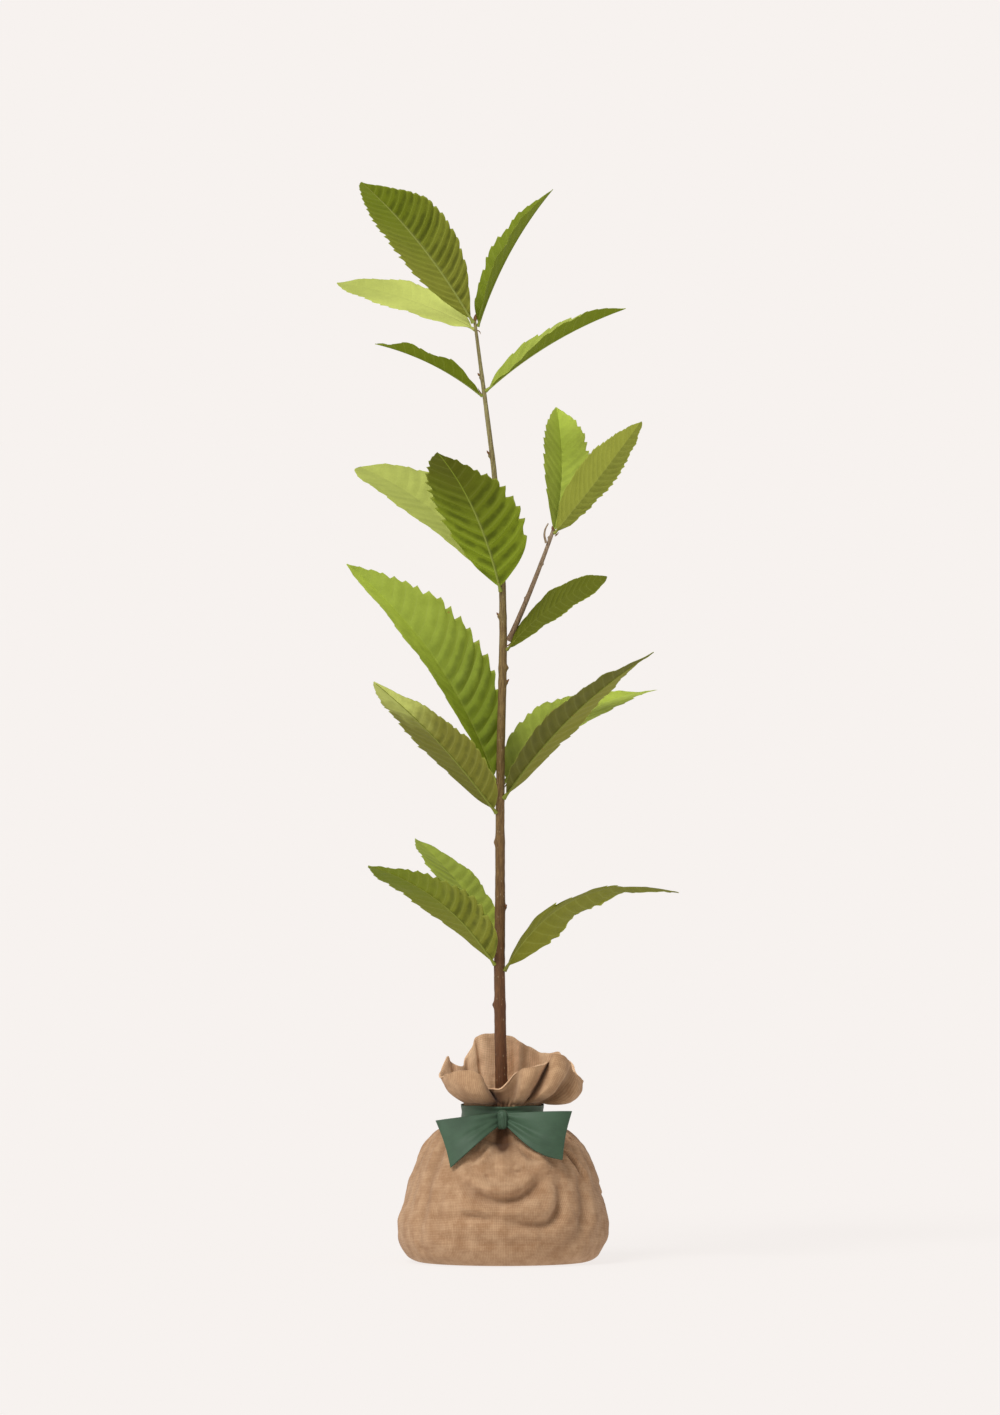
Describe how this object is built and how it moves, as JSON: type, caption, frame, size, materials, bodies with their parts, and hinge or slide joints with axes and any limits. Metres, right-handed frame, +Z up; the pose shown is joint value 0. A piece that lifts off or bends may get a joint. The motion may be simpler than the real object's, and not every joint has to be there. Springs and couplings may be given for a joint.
{
  "type": "sapling with root ball",
  "caption": "Young broad-leaved sapling on a slender stem, its root ball wrapped in a burlap sack tied with a ribbon bow.",
  "frame": {"origin": "centre of the sack's flat underside, on the ground", "axes": "+Z up along the stem, -Y towards the ribbon's bow (the front), +X to the right seen from the front"},
  "size_m": [0.2523, 0.1838, 0.7976],
  "materials": {
    "bark": "matt grey-brown bark, olive towards the tip",
    "leaf": "satin olive-green leaf with raised veins",
    "burlap": "matt woven jute",
    "ribbon": "soft satin ribbon, dark green"
  },
  "bodies": {
    "root": {"root_ball": "burlap", "sack_collar": "burlap", "ribbon_band": "ribbon", "bow_knot": "ribbon", "bow_left": "ribbon", "bow_right": "ribbon", "stem": "bark", "side_branch": "bark", "leaf_top_front": "leaf", "leaf_top_back": "leaf", "leaf_top_right": "leaf", "leaf_upper_left": "leaf", "leaf_upper_right": "leaf", "leaf_branch_back": "leaf", "leaf_branch_right": "leaf", "leaf_middle_back": "leaf", "leaf_middle_front": "leaf", "leaf_fork_right": "leaf", "leaf_lower_long": "leaf", "leaf_lower_left": "leaf", "leaf_lower_front": "leaf", "leaf_lower_back": "leaf", "leaf_bottom_front": "leaf", "leaf_bottom_back": "leaf", "leaf_bottom_right": "leaf"}
  },
  "joints": []
}
